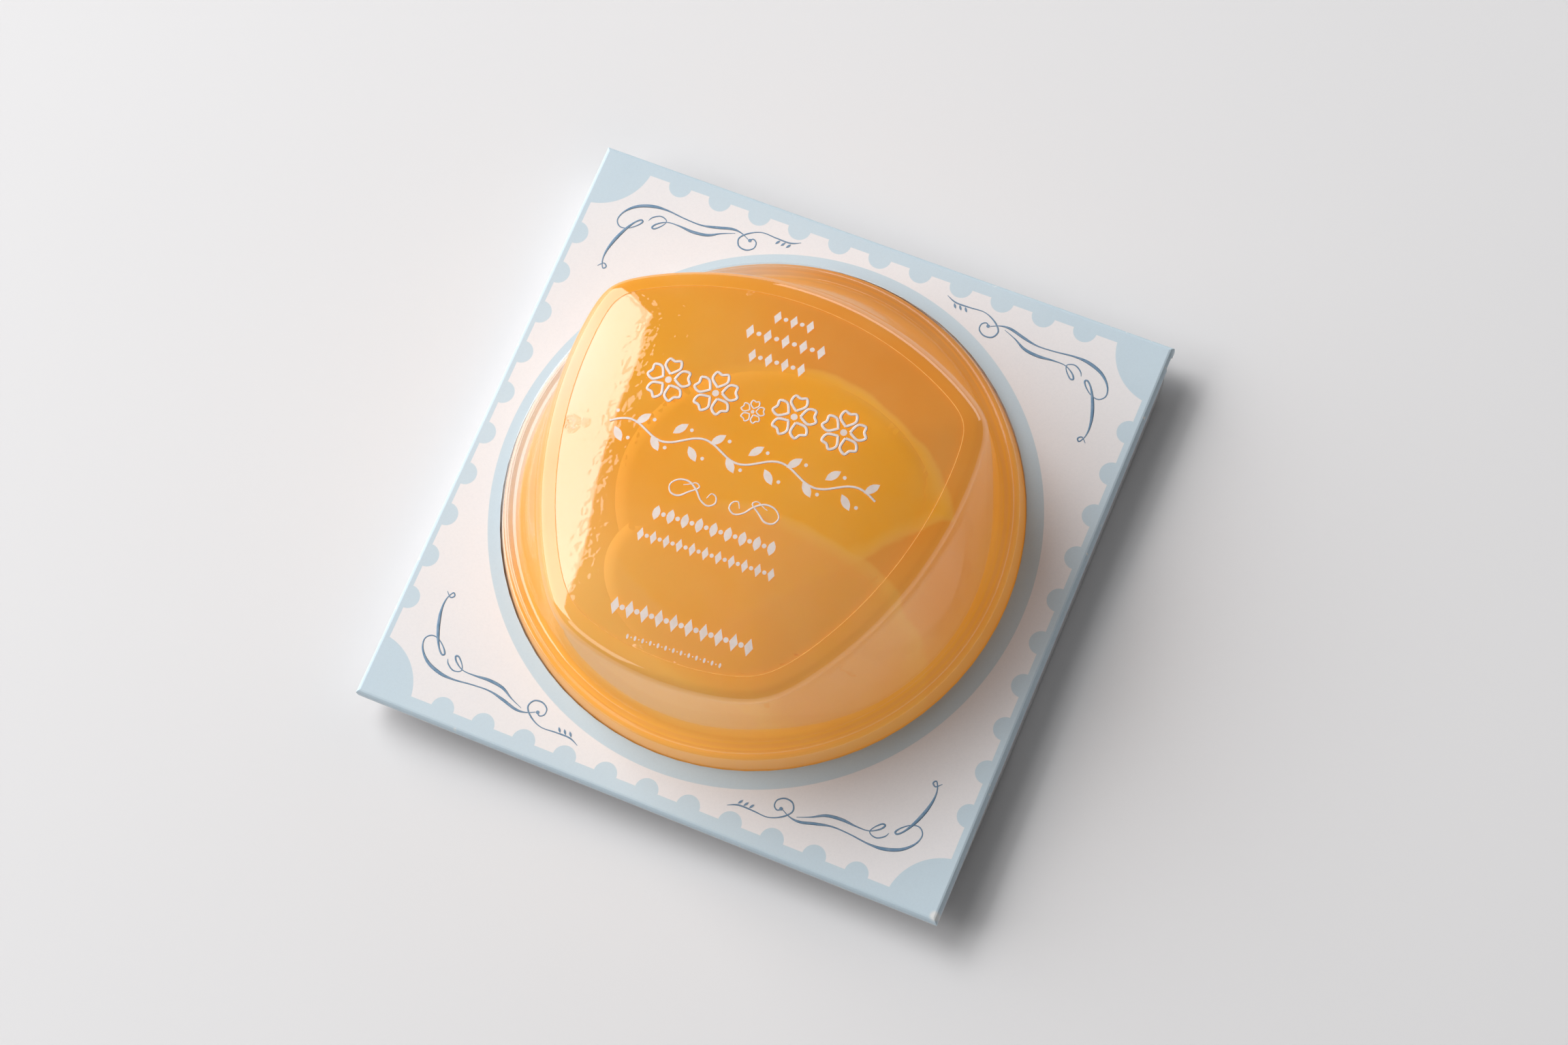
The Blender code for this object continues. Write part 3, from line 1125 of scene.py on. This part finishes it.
@dataclass
class Press:
    """Prints strokes and small filled shapes on a surface, and joins them into one piece."""

    name: str
    surface: Callable[[float, float], float]
    lift: float
    flat: float = 0.12
    parts: list[bpy.types.Object] = field(default_factory=list)

    def stroke(self, knots: Sequence[Knot], place: Callable[[Point], Point], steps: int = 7) -> None:
        """Prints a stroke that swells and thins.

        Args:
            knots: Place across and up, and width, all in millimetres.
            place: Moves a point of the stroke to its place on the surface, in millimetres.
            steps: Points between two knots.
        """
        points = []
        radii = []
        last = len(knots) - 1
        for number in range(last):
            before, first = knots[max(number - 1, 0)], knots[number]
            second, after = knots[number + 1], knots[min(number + 2, last)]
            for step in range(steps + (number == last - 1)):
                share = step / steps
                parts = [self.spline(before[k], first[k], second[k], after[k], share) for k in range(3)]
                x, y = place((parts[0], parts[1]))
                points.append((x * MM, y * MM, 0.0))
                radii.append(max(parts[2], 0.06) * MM / 2.0)
        wire = Wire(f"{self.name}_{len(self.parts)}", points, radii).build()
        self.settle(wire)

    @staticmethod
    def spline(before: float, first: float, second: float, after: float, share: float) -> float:
        """Catmull and Rom's curve between the middle two of four numbers.

        Args:
            before: The number before the first.
            first: Where the curve starts.
            second: Where it ends.
            after: The number after the second.
            share: 0 at the start and 1 at the end.

        Returns:
            The number there.
        """
        slope = (second - before) / 2.0
        other = (after - first) / 2.0
        cube = 2.0 * (first - second) + slope + other
        square = 3.0 * (second - first) - 2.0 * slope - other
        return ((cube * share + square) * share + slope) * share + first

    def shape(self, motif: Motif, x: float, y: float, length: float, width: float, turn: float) -> None:
        """Prints a filled shape.

        Args:
            motif: Which shape.
            x: Its middle across, in millimetres.
            y: Its middle up, in millimetres.
            length: Its length in millimetres.
            width: Its width in millimetres.
            turn: Its direction in degrees.
        """
        choose_none()
        corners = 4 if motif is Motif.LOZENGE else 16
        bpy.ops.mesh.primitive_circle_add(vertices=corners, radius=1.0, fill_type="NGON")
        piece = bpy.context.object
        bpy.ops.object.mode_set(mode="EDIT")
        bpy.ops.mesh.select_all(action="SELECT")
        bpy.ops.mesh.extrude_region_move(TRANSFORM_OT_translate={"value": (0.0, 0.0, 0.3 * MM)})
        bpy.ops.mesh.select_all(action="SELECT")
        bpy.ops.mesh.normals_make_consistent(inside=False)
        bpy.ops.object.mode_set(mode="OBJECT")
        cosine, sine = math.cos(math.radians(turn)), math.sin(math.radians(turn))
        for corner in piece.data.vertices:
            along = corner.co.x * length / 2.0
            side = corner.co.y * width / 2.0
            if motif is Motif.LEAF:
                side *= 1.0 - abs(corner.co.x) ** 3
            corner.co.x = (x + along * cosine - side * sine) * MM
            corner.co.y = (y + along * sine + side * cosine) * MM
        self.settle(piece)

    def settle(self, piece: bpy.types.Object) -> None:
        """Flattens a part and lays it on the surface.

        Args:
            piece: The part, made on the plane at zero height.
        """
        for corner in piece.data.vertices:
            corner.co.z = self.surface(corner.co.x, corner.co.y) + self.lift + corner.co.z * self.flat
        self.parts.append(piece)

    def join(self) -> bpy.types.Object:
        """Joins all parts into one piece and returns it."""
        choose_none()
        for part in self.parts:
            part.select_set(True)
        bpy.context.view_layer.objects.active = self.parts[0]
        bpy.ops.object.join()
        piece = bpy.context.object
        piece.name = self.name
        return piece


@dataclass
class CardFlourishes:
    """The scrolls printed in the card's four corners."""

    spiral: tuple[Knot, ...] = (
        (15.5, 54.2, 0.1), (17.5, 53.4, 0.3), (20.5, 53.4, 0.25), (23.5, 53.5, 0.2), (26.0, 52.4, 0.3),
        (27.4, 50.8, 0.3), (26.8, 49.3, 0.3), (25.2, 49.0, 0.3), (23.9, 49.8, 0.25), (23.8, 51.0, 0.25),
        (24.6, 51.6, 0.25), (25.3, 51.1, 0.3),
    )
    outer: tuple[Knot, ...] = (
        (25.6, 51.2, 0.15), (27.5, 52.0, 0.25), (29.5, 52.1, 0.5), (32.5, 51.3, 0.55), (35.5, 50.7, 0.3),
        (39.0, 50.8, 0.25), (43.0, 51.2, 0.35), (46.0, 51.0, 0.65), (49.0, 49.9, 0.6), (51.0, 48.0, 0.35),
        (51.6, 46.0, 0.25), (50.6, 44.8, 0.25), (49.0, 45.0, 0.2), (47.5, 46.1, 0.25), (46.7, 47.2, 0.35),
        (47.2, 47.5, 0.35), (48.3, 46.4, 0.35), (49.5, 44.2, 0.6), (50.5, 41.5, 0.65), (51.0, 39.0, 0.4),
        (50.9, 37.0, 0.25), (50.2, 35.6, 0.25), (49.7, 36.1, 0.3), (50.4, 36.6, 0.25), (51.4, 35.7, 0.12),
    )
    inner: tuple[Knot, ...] = (
        (28.5, 51.5, 0.1), (31.0, 50.5, 0.25), (33.5, 49.2, 0.55), (36.5, 48.8, 0.6), (39.5, 49.0, 0.3),
        (42.0, 48.9, 0.2), (43.8, 47.9, 0.3), (44.5, 46.9, 0.35), (43.8, 46.8, 0.3), (42.5, 48.2, 0.2),
        (42.4, 49.2, 0.2), (43.8, 49.6, 0.25), (45.2, 48.8, 0.25), (45.7, 47.9, 0.1),
    )

    def build(self) -> bpy.types.Object:
        """Builds and dresses the scrolls."""
        press = Press("card_flourishes", lambda x, y: CARD_FACE, 0.02 * MM, 0.1)
        for across in (1.0, -1.0):
            for up in (1.0, -1.0):
                def place(point: Point, across: float = across, up: float = up) -> Point:
                    """Mirrors a point into its corner."""
                    return point[0] * across - 0.2, point[1] * up + 0.3

                for knots in (self.spiral, self.outer, self.inner):
                    press.stroke(knots, place)
                for number in range(3):
                    x, y = place((17.6 + number * 1.15, 52.7))
                    press.shape(Motif.LEAF, x, y, 1.2, 0.42, 125.0 if across * up > 0 else 55.0)
                x, y = place((25.2, 51.1))
                press.shape(Motif.DOT, x, y, 0.7, 0.7, 0.0)
        piece = press.join()
        return dress(piece, Ink("scroll_ink", (112, 146, 176), (134, 160, 186)).material(), "front_card")


@dataclass
class LabelOrnament:
    """Generic ornament printed in white on the film: rows of blossoms, leaves, lozenges and scrolls."""

    film: LabelFilm
    slant: float = 3.5
    petal: tuple[Point, ...] = (
        (0.14, 0.0), (0.3, 0.17), (0.47, 0.13), (0.44, 0.0), (0.47, -0.13), (0.3, -0.17), (0.14, 0.0),
    )

    def place(self, point: Point) -> Point:
        """Turns a point of the ornament to the label's slant.

        Args:
            point: Place from the cup's axis, in millimetres.

        Returns:
            Place in the CAD frame, in millimetres.
        """
        cosine, sine = math.cos(math.radians(self.slant)), math.sin(math.radians(self.slant))
        x = point[0] * cosine - point[1] * sine
        y = point[0] * sine + point[1] * cosine
        return x + CUP_X / MM, y + CUP_Y / MM

    def surface(self, x: float, y: float) -> float:
        """Height of the film at a place in the CAD frame."""
        return CARD_FACE + self.film.surface(x - CUP_X, y - CUP_Y)

    def shape(
        self, press: Press, motif: Motif, x: float, y: float, length: float, width: float, turn: float = 0.0
    ) -> None:
        """Prints a filled shape at a place on the label.

        Args:
            press: The press to print with.
            motif: Which shape.
            x: Place across, in millimetres from the cup's axis.
            y: Place up, in millimetres from the cup's axis.
            length: Length in millimetres.
            width: Width in millimetres.
            turn: Direction in degrees.
        """
        across, up = self.place((x, y))
        press.shape(motif, across, up, length, width, turn + self.slant)

    def blossom(self, press: Press, x: float, y: float, size: float) -> None:
        """Prints a five-petalled blossom.

        Args:
            press: The press to print with.
            x: Middle across, in millimetres.
            y: Middle up, in millimetres.
            size: Width across the petals, in millimetres.
        """
        for petal in range(5):
            lean = math.radians(90.0 + 72.0 * petal)
            knots = []
            for out, side in self.petal:
                across = x + size * (out * math.cos(lean) - side * math.sin(lean))
                up = y + size * (out * math.sin(lean) + side * math.cos(lean))
                knots.append((across, up, 0.066 * size))
            press.stroke(knots, self.place, 5)
        self.shape(press, Motif.DOT, x, y, 0.15 * size, 0.15 * size)

    def chain(self, press: Press, y: float, width: float, height: float, count: int, motif: Motif) -> None:
        """Prints a row of alternating large and small shapes.

        Args:
            press: The press to print with.
            y: Height of the row, in millimetres.
            width: Length of the row, in millimetres.
            height: Height of the large shapes, in millimetres.
            count: Number of shapes.
            motif: The large shape.
        """
        for number in range(count):
            x = (number / (count - 1) - 0.5) * width
            if number % 2:
                self.shape(press, Motif.DOT, x, y, height * 0.3, height * 0.3)
            else:
                self.shape(press, motif, x, y, height, height * 0.5, 90.0)

    def vine(self, press: Press, y: float, width: float) -> None:
        """Prints a waving stem with leaves on both sides.

        Args:
            press: The press to print with.
            y: Height of the row, in millimetres.
            width: Length of the row, in millimetres.
        """
        knots = []
        for number in range(29):
            x = (number / 28.0 - 0.5) * width
            knots.append((x, y + 1.3 * math.sin(number * math.pi / 4.0), 0.45))
        press.stroke(knots, self.place, 4)
        for number in range(14):
            x = ((number + 0.5) / 14.0 - 0.5) * width
            side = 1.0 if number % 2 else -1.0
            self.shape(press, Motif.LEAF, x + 0.6, y + side * 2.0, 3.4, 1.5, side * 48.0)
            self.shape(press, Motif.DOT, x - 1.0, y - side * 2.3, 0.7, 0.7)

    def scroll(self, press: Press, y: float) -> None:
        """Prints a pair of scrolls, one the mirror of the other.

        Args:
            press: The press to print with.
            y: Height of the pair, in millimetres.
        """
        half = (
            (3.2, -0.6, 0.2), (2.6, 0.5, 0.25), (1.6, 0.1, 0.3), (1.4, -1.1, 0.35), (2.6, -1.9, 0.35),
            (4.2, -1.2, 0.35), (5.6, 0.4, 0.4), (7.4, 1.5, 0.4), (9.4, 1.3, 0.35), (10.6, 0.0, 0.3),
            (10.0, -1.4, 0.35), (8.4, -1.6, 0.4), (6.8, -0.4, 0.35), (5.2, 0.9, 0.3), (6.0, 1.6, 0.25),
            (7.4, 0.9, 0.2), (8.2, 0.6, 0.15),
        )
        for across in (1.0, -1.0):
            press.stroke([(x * across, y + up, width) for x, up, width in half], self.place, 6)

    def build(self) -> bpy.types.Object:
        """Builds and dresses the ornament."""
        press = Press("label_ornament", self.surface, 0.01 * MM, 0.1)
        self.chain(press, 28.8, 6.4, 2.9, 5, Motif.LOZENGE)
        self.chain(press, 24.4, 14.0, 3.1, 9, Motif.LOZENGE)
        self.chain(press, 19.8, 9.6, 2.9, 7, Motif.LOZENGE)
        for x, size in ((-18.0, 8.6), (-8.6, 8.6), (-0.8, 4.6), (6.8, 8.6), (16.4, 8.6)):
            self.blossom(press, x, 10.6 if size > 5.0 else 9.2, size)
        self.vine(press, 0.2, 52.0)
        self.scroll(press, -8.4)
        self.chain(press, -14.2, 22.4, 2.9, 17, Motif.LEAF)
        self.chain(press, -18.8, 25.4, 2.6, 21, Motif.LOZENGE)
        self.chain(press, -32.4, 26.0, 3.3, 19, Motif.LOZENGE)
        self.chain(press, -37.0, 18.0, 0.9, 25, Motif.DOT)
        piece = press.join()
        piece.visible_shadow = False
        return dress(piece, Ink("label_ink", (240, 226, 218), (234, 216, 206)).material(), "label")


@dataclass
class Card:
    """The CAD model's own card, tray and lid, which only need their finishes."""

    nodes: dict[str, bpy.types.Object]

    def build(self) -> None:
        """Gives each node its finish."""
        finishes = {
            "front_card": PrintedBoard().material(),
            "back_tray": TrayBoard().material(),
            "lid_film": Ink("lid_film", (226, 226, 224), (214, 216, 218), 0.35).material(),
        }
        for name, finish in finishes.items():
            for slot in self.nodes[name].material_slots:
                slot.material = finish
            LOG.info("%s: finish only", name)


class Role(Enum):
    """What a softbox is for."""

    BOTH = "lights the pack and is mirrored in it"
    LIGHT = "lights the pack"
    MIRRORED = "is mirrored in the pack"


@dataclass
class Studio:
    """Floor, soft white light and camera."""

    lens: float = 81.17
    surround_light: float = 0.17
    surround_mirrored: float = 0.16
    surround_seen: float = 0.85
    table: Colour = (238, 237, 238)
    table_cloud: Colour = (233, 232, 233)

    def softbox(
        self,
        name: str,
        azimuth: float,
        elevation: float,
        distance: float,
        size: Point,
        glow: float,
        role: Role,
    ) -> None:
        """Adds a softbox that faces the pack.

        Args:
            name: Name of the lamp.
            azimuth: Direction from the pack in degrees, anticlockwise from X.
            elevation: Height in degrees.
            distance: Distance in metres.
            size: Width and height in metres.
            glow: Brightness of its face, where 1 is white.
            role: What the softbox is for.
        """
        choose_none()
        turn, rise = math.radians(azimuth), math.radians(elevation)
        away = Vector((math.cos(rise) * math.cos(turn), math.cos(rise) * math.sin(turn), math.sin(rise)))
        bpy.ops.object.light_add(type="AREA", location=away * distance)
        lamp = bpy.context.object
        lamp.name = name
        lamp.rotation_euler = away.to_track_quat("Z", "Y").to_euler()
        lamp.data.shape = "RECTANGLE"
        lamp.data.size = size[0]
        lamp.data.size_y = size[1]
        lamp.data.energy = glow * math.pi * size[0] * size[1]
        lamp.visible_glossy = role is not Role.LIGHT
        lamp.visible_diffuse = role is not Role.MIRRORED

    def world(self) -> None:
        """Sets an even, pale surround that lights more softly than it looks."""
        world = bpy.data.worlds.new("surround")
        bpy.context.scene.world = world
        graph = Graph(world.name, world)
        path = graph.add("ShaderNodeLightPath").outputs
        seen = graph.larger(path["Is Camera Ray"], path["Is Transmission Ray"])
        sockets = {0: path["Is Glossy Ray"], 3: self.surround_light, 4: self.surround_mirrored}
        unseen = graph.add("ShaderNodeMapRange", sockets).outputs[0]
        level = graph.add("ShaderNodeMapRange", {0: seen, 3: unseen, 4: self.surround_seen}).outputs[0]
        background = graph.add("ShaderNodeBackground", {0: (1.0, 1.0, 1.0, 1.0), 1: level})
        graph.add("ShaderNodeOutputWorld", {0: background.outputs[0]})

    def floor(self) -> None:
        """Adds the table top."""
        choose_none()
        bpy.ops.mesh.primitive_plane_add(size=4.0, location=(0.0, 0.0, -0.0002))
        table = bpy.context.object
        table.name = "table_top"
        graph = Graph("table_top")
        cloud = graph.noise(4.0, 3.0)
        share = graph.ease(cloud, 0.3, 0.7, 0.0, 0.3)
        colour = graph.blend(share, paint(self.table), paint(self.table_cloud))
        shader = graph.body(colour, 0.7, 0.2)
        table.data.materials.append(graph.finish(shader.outputs[0]))

    def camera(self) -> None:
        """Adds the camera, above the card's lower right corner."""
        choose_none()
        turn = (math.radians(17.24), math.radians(6.49), math.radians(23.14))
        bpy.ops.object.camera_add(location=(0.1491, -0.1545, 0.6486), rotation=turn)
        camera = bpy.context.object
        camera.data.lens = self.lens
        camera.data.sensor_width = 36.0
        camera.data.clip_start = 0.01
        bpy.context.scene.camera = camera

    def build(self) -> None:
        """Builds the studio."""
        self.world()
        self.floor()
        self.softbox("window", 176.0, 33.0, 2.2, (2.9, 1.54), 3.9, Role.BOTH)
        self.softbox("overhead", 152.0, 50.0, 2.6, (1.4, 1.4), 4.1, Role.LIGHT)
        self.softbox("sill", 176.0, 5.0, 1.2, (1.5, 0.3), 1.5, Role.MIRRORED)
        self.softbox("far_wall", 82.0, 13.0, 1.5, (1.5, 0.5), 1.9, Role.MIRRORED)
        self.softbox("reflector", 236.0, 33.0, 1.3, (0.5, 0.45), 1.9, Role.MIRRORED)
        self.camera()
        bpy.context.scene.view_settings.view_transform = "Standard"


def main() -> None:
    """Builds the pack's looks, piece by piece."""
    logging.basicConfig(level=logging.INFO, format="%(name)s: %(message)s")
    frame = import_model()
    form = DomeForm()
    film = LabelFilm(form)
    Card(frame["nodes"]).build()
    CardFlourishes().build()
    JellyFill(form).build()
    PeachHalf("peach_upper", UPPER_PEACH, form).build()
    PeachHalf("peach_lower", LOWER_PEACH, form, 0.13 * MM).build()
    CupShell(form).build()
    film.build()
    LabelOrnament(film).build()
    Studio().build()


if __name__ == "__main__":
    main()
